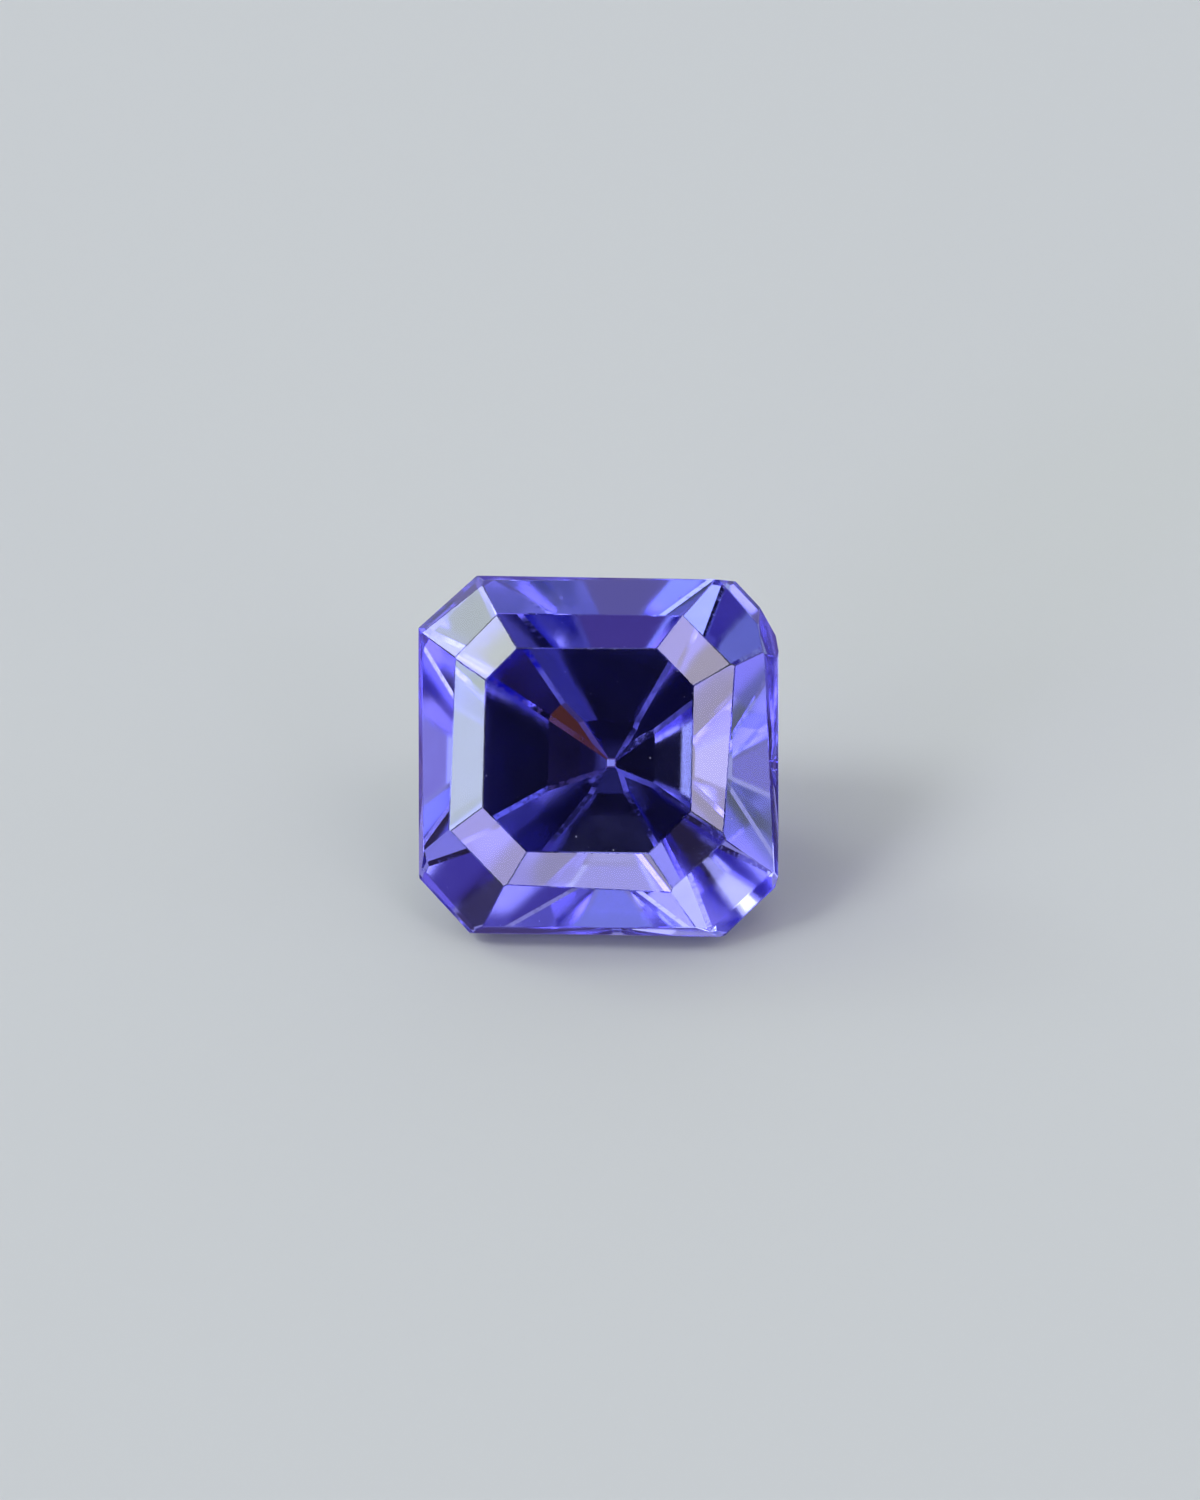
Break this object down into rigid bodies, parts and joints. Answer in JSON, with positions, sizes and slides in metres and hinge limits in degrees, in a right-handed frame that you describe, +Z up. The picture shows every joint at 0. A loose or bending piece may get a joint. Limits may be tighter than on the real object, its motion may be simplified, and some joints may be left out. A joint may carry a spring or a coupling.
{
  "type": "square step cut tanzanite",
  "caption": "Clear violet-blue faceted gemstone, a square step cut with cut corners, lying on a lower facet with its table turned up towards the front.",
  "frame": {"origin": "on the surface that the stone lies on, under the middle of its bounding box", "axes": "+Z up, the stone's table facing -Y and up, +X to the right when the table is looked at"},
  "size_m": [0.0082, 0.0064, 0.0063],
  "materials": {
    "tanzanite": "polished"
  },
  "bodies": {
    "root": {"tanzanite": "tanzanite"}
  },
  "joints": []
}
